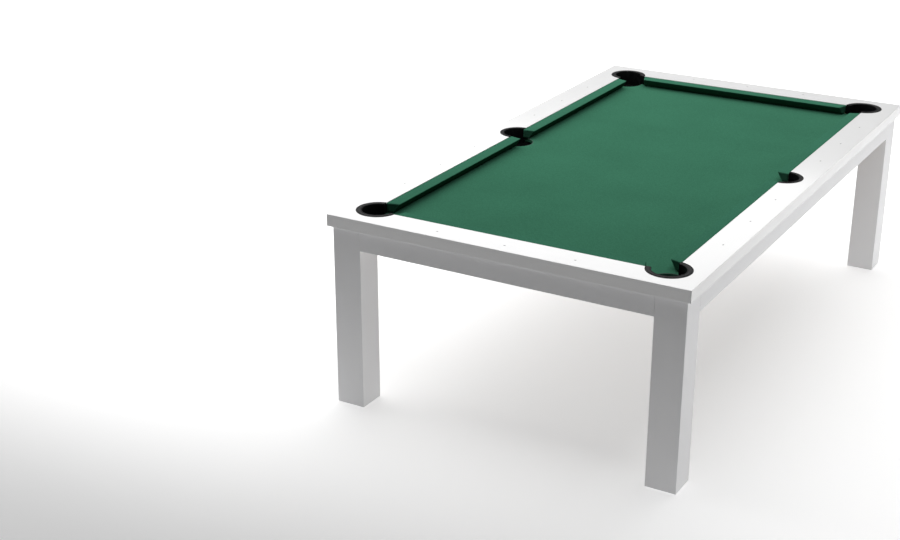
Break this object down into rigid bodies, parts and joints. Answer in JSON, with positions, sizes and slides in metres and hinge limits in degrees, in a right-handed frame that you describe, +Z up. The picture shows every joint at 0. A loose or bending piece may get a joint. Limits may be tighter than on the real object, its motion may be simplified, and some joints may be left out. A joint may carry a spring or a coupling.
{
  "type": "pool table",
  "caption": "Seven-foot pool table with white lacquered rails and square legs, green cloth, drop pockets with black collars and screw feet.",
  "frame": {"origin": "on the floor under the middle of the table", "axes": "+X along the table's length towards the foot end, +Y towards the left side, +Z up"},
  "size_m": [2.467, 1.4, 0.7565],
  "materials": {
    "rail_lacquer": "white gloss lacquer on board",
    "cabinet_lacquer": "white satin lacquer on board",
    "timber": "planed softwood",
    "cushion_rubber": "moulded",
    "cushion_cloth": "worsted wool",
    "bed_cloth": "worsted wool",
    "collar_plastic": "black moulded",
    "tub_plastic": "black moulded",
    "slate": "honed",
    "foot_pad_rubber": "moulded",
    "stud_steel": "zinc plated",
    "insert_brass": "turned",
    "bracket_steel": "black powder coat",
    "fastener_steel": "zinc plated",
    "sight_inlay": "grey inlay"
  },
  "bodies": {
    "root": {"apron_foot": "cabinet_lacquer", "apron_head": "cabinet_lacquer", "apron_left": "cabinet_lacquer", "apron_right": "cabinet_lacquer", "ball_tub_foot_left": "tub_plastic", "ball_tub_foot_right": "tub_plastic", "ball_tub_head_left": "tub_plastic", "ball_tub_head_right": "tub_plastic", "ball_tub_side_left": "tub_plastic", "ball_tub_side_right": "tub_plastic", "bed_cloth": "bed_cloth", "corner_brackets": "bracket_steel", "cushion_cloth_foot": "cushion_cloth", "cushion_cloth_head": "cushion_cloth", "cushion_cloth_left_foot": "cushion_cloth", "cushion_cloth_left_head": "cushion_cloth", "cushion_cloth_right_foot": "cushion_cloth", "cushion_cloth_right_head": "cushion_cloth", "cushion_facings": "cushion_rubber", "end_cushion_rubbers": "cushion_rubber", "frame_cross_beams": "timber", "frame_sill_foot": "timber", "frame_sill_head": "timber", "frame_sill_left": "timber", "frame_sill_right": "timber", "leg_bolts": "fastener_steel", "leg_end_blocks": "timber", "leg_foot_left": "cabinet_lacquer", "leg_foot_right": "cabinet_lacquer", "leg_head_left": "cabinet_lacquer", "leg_head_right": "cabinet_lacquer", "pocket_collar_foot_left": "collar_plastic", "pocket_collar_foot_right": "collar_plastic", "pocket_collar_head_left": "collar_plastic", "pocket_collar_head_right": "collar_plastic", "pocket_collar_side_left": "collar_plastic", "pocket_collar_side_right": "collar_plastic", "rail_bolts": "fastener_steel", "rail_cap_foot": "rail_lacquer", "rail_cap_head": "rail_lacquer", "rail_cap_left": "rail_lacquer", "rail_cap_right": "rail_lacquer", "rail_sights": "sight_inlay", "rail_washers": "fastener_steel", "side_cushion_rubbers": "cushion_rubber", "slate_bed": "slate", "sub_rail_foot": "timber", "sub_rail_head": "timber", "sub_rail_left": "timber", "sub_rail_right": "timber", "threaded_inserts": "insert_brass", "tub_screws": "fastener_steel"},
    "pad_head_right": {"foot_pad_head_right": "foot_pad_rubber"},
    "stud_head_right": {"foot_stud_head_right": "stud_steel"},
    "pad_foot_right": {"foot_pad_foot_right": "foot_pad_rubber"},
    "stud_foot_right": {"foot_stud_foot_right": "stud_steel"},
    "pad_foot_left": {"foot_pad_foot_left": "foot_pad_rubber"},
    "stud_foot_left": {"foot_stud_foot_left": "stud_steel"},
    "pad_head_left": {"foot_pad_head_left": "foot_pad_rubber"},
    "stud_head_left": {"foot_stud_head_left": "stud_steel"}
  },
  "joints": [
    {"name": "foot_extend_head_right", "type": "slide", "parent": "root", "child": "pad_head_right", "axis": [0, 0, -1], "range_m": [0, 0.02]},
    {"name": "stud_turn_head_right", "type": "hinge", "parent": "pad_head_right", "child": "stud_head_right", "pos_m": [-1.1605, -0.627, 0.03], "axis": [0, 0, -1], "range_deg": [0, 4114.29]},
    {"name": "foot_extend_foot_right", "type": "slide", "parent": "root", "child": "pad_foot_right", "axis": [0, 0, -1], "range_m": [0, 0.02]},
    {"name": "stud_turn_foot_right", "type": "hinge", "parent": "pad_foot_right", "child": "stud_foot_right", "pos_m": [1.1605, -0.627, 0.03], "axis": [0, 0, -1], "range_deg": [0, 4114.29]},
    {"name": "foot_extend_foot_left", "type": "slide", "parent": "root", "child": "pad_foot_left", "axis": [0, 0, -1], "range_m": [0, 0.02]},
    {"name": "stud_turn_foot_left", "type": "hinge", "parent": "pad_foot_left", "child": "stud_foot_left", "pos_m": [1.1605, 0.627, 0.03], "axis": [0, 0, -1], "range_deg": [0, 4114.29]},
    {"name": "foot_extend_head_left", "type": "slide", "parent": "root", "child": "pad_head_left", "axis": [0, 0, -1], "range_m": [0, 0.02]},
    {"name": "stud_turn_head_left", "type": "hinge", "parent": "pad_head_left", "child": "stud_head_left", "pos_m": [-1.1605, 0.627, 0.03], "axis": [0, 0, -1], "range_deg": [0, 4114.29]}
  ],
  "couplings": [
    {"joint": "stud_turn_head_right", "follows": "foot_extend_head_right", "rad_per_m": 3590.4},
    {"joint": "stud_turn_foot_right", "follows": "foot_extend_foot_right", "rad_per_m": 3590.4},
    {"joint": "stud_turn_foot_left", "follows": "foot_extend_foot_left", "rad_per_m": 3590.4},
    {"joint": "stud_turn_head_left", "follows": "foot_extend_head_left", "rad_per_m": 3590.4}
  ]
}
